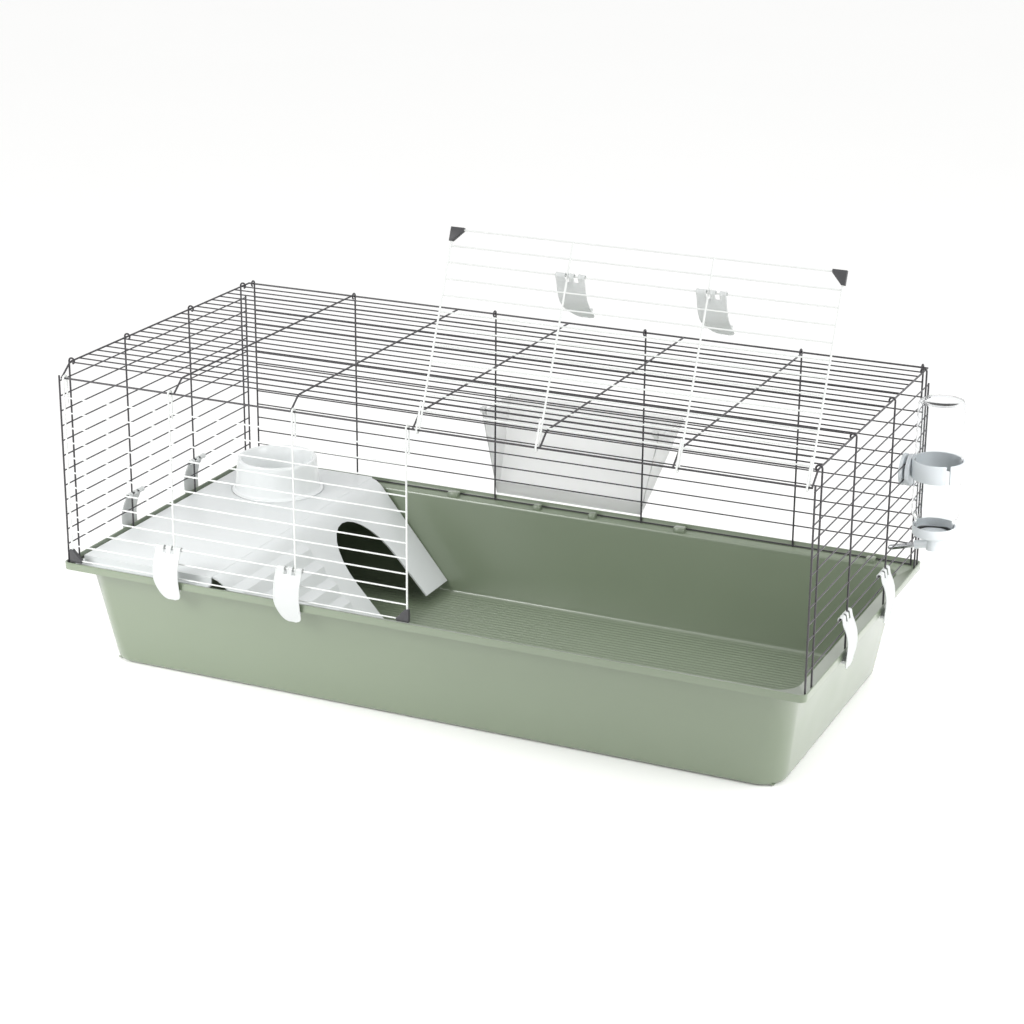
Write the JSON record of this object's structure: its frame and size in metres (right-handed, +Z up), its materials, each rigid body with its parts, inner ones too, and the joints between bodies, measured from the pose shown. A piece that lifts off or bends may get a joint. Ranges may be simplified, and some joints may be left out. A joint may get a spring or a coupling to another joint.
{
  "type": "rabbit cage",
  "caption": "Indoor cage for a rabbit: moulded tray, clipped-on wire top with two upward-opening front doors, stepped shelf with bowl, outside hay rack and drinking bottle.",
  "frame": {"origin": "middle of the tray's flat underside", "axes": "+Z up, +Y towards the back wall and hay rack, +X towards the drinking bottle, so the doors face -Y"},
  "size_m": [1.2706, 0.6938, 0.7237],
  "materials": {
    "tray_green": "semi-gloss moulded sage green",
    "dark_wire": "dark coated steel wire",
    "white_wire": "white coated steel wire",
    "dark_cap": "fine matt",
    "clip_white": "semi-gloss",
    "shelf_grey": "semi-gloss",
    "bowl_white": "semi-gloss",
    "rack_frosted": "frosted translucent plastic",
    "holder_grey": "semi-gloss, a little translucent",
    "cap_grey": "semi-gloss, a little translucent",
    "seal_rubber": "matt",
    "bottle_clear": "clear plastic",
    "steel": "polished"
  },
  "bodies": {
    "cage_base": {"tray": "tray_green", "roof_grille": "dark_wire", "back_grille": "dark_wire", "left_side_grille": "dark_wire", "right_side_grille": "dark_wire", "holder_collar": "holder_grey", "holder_clamp_disc": "holder_grey", "holder_screw": "holder_grey", "bottle_cap": "cap_grey", "cap_seal": "seal_rubber", "drinking_spout": "steel"},
    "left_door": {"left_door_grille": "white_wire", "left_door_outer_corner_cap": "dark_cap", "left_door_inner_corner_cap": "dark_cap"},
    "right_door": {"right_door_grille": "white_wire", "right_door_outer_corner_cap": "dark_cap", "right_door_inner_corner_cap": "dark_cap"},
    "shelf": {"shelf": "shelf_grey"},
    "bowl": {"bowl": "bowl_white"},
    "hay_rack": {"hay_rack": "rack_frosted"},
    "bottle": {"bottle": "bottle_clear"},
    "spout_ball": {"spout_ball": "steel"},
    "left_door_outer_clip": {"left_door_outer_clip": "clip_white"},
    "left_door_inner_clip": {"left_door_inner_clip": "clip_white"},
    "right_door_outer_clip": {"right_door_outer_clip": "clip_white"},
    "right_door_inner_clip": {"right_door_inner_clip": "clip_white"},
    "left_side_front_clip": {"left_side_front_clip": "clip_white"},
    "left_side_rear_clip": {"left_side_rear_clip": "clip_white"},
    "right_side_front_clip": {"right_side_front_clip": "clip_white"},
    "right_side_rear_clip": {"right_side_rear_clip": "clip_white"}
  },
  "joints": [
    {"name": "left_door_swing", "type": "hinge", "parent": "cage_base", "child": "left_door", "pos_m": [-0.3, -0.275, 0.4584], "axis": [-1, 0, 0], "range_deg": [0, 203]},
    {"name": "right_door_swing", "type": "hinge", "parent": "cage_base", "child": "right_door", "pos_m": [0.3, -0.275, 0.4584], "axis": [1, 0, 0], "range_deg": [0, 203]},
    {"name": "left_door_outer_clip_swing", "type": "hinge", "parent": "left_door", "child": "left_door_outer_clip", "pos_m": [-0.39453, -0.2795, 0.2193], "axis": [-1, 0, 0], "range_deg": [0, 120]},
    {"name": "left_door_inner_clip_swing", "type": "hinge", "parent": "left_door", "child": "left_door_inner_clip", "pos_m": [-0.18947, -0.2795, 0.2193], "axis": [-1, 0, 0], "range_deg": [0, 120]},
    {"name": "right_door_outer_clip_swing", "type": "hinge", "parent": "right_door", "child": "right_door_outer_clip", "pos_m": [0.39453, -0.17743, 0.67673], "axis": [1, 0, 0], "range_deg": [0, 120]},
    {"name": "right_door_inner_clip_swing", "type": "hinge", "parent": "right_door", "child": "right_door_inner_clip", "pos_m": [0.18947, -0.17743, 0.67673], "axis": [1, 0, 0], "range_deg": [0, 120]},
    {"name": "left_side_front_clip_swing", "type": "hinge", "parent": "cage_base", "child": "left_side_front_clip", "pos_m": [-0.5861, -0.0955, 0.2193], "axis": [0, 1, 0], "range_deg": [0, 120]},
    {"name": "right_side_front_clip_swing", "type": "hinge", "parent": "cage_base", "child": "right_side_front_clip", "pos_m": [0.5861, -0.0955, 0.2193], "axis": [0, -1, 0], "range_deg": [0, 120]},
    {"name": "left_side_rear_clip_swing", "type": "hinge", "parent": "cage_base", "child": "left_side_rear_clip", "pos_m": [-0.5861, 0.0913, 0.2193], "axis": [0, 1, 0], "range_deg": [0, 120]},
    {"name": "right_side_rear_clip_swing", "type": "hinge", "parent": "cage_base", "child": "right_side_rear_clip", "pos_m": [0.5861, 0.0913, 0.2193], "axis": [0, -1, 0], "range_deg": [0, 120]},
    {"name": "shelf_lift", "type": "slide", "parent": "cage_base", "child": "shelf", "axis": [0, 0, 1], "range_m": [0, 0.15]},
    {"name": "bowl_lift", "type": "slide", "parent": "shelf", "child": "bowl", "axis": [0, 0, 1], "range_m": [0, 0.05]},
    {"name": "hay_rack_lift", "type": "slide", "parent": "cage_base", "child": "hay_rack", "axis": [0, 0, 1], "range_m": [0, 0.015]},
    {"name": "bottle_turn", "type": "hinge", "parent": "cage_base", "child": "bottle", "pos_m": [0.632, 0.18, 0.35], "axis": [0, 0, 1], "range_deg": [0, 360]},
    {"name": "spout_ball_push", "type": "slide", "parent": "cage_base", "child": "spout_ball", "axis": [0.9659, 0, 0.2588], "range_m": [0, 0.0015]}
  ]
}
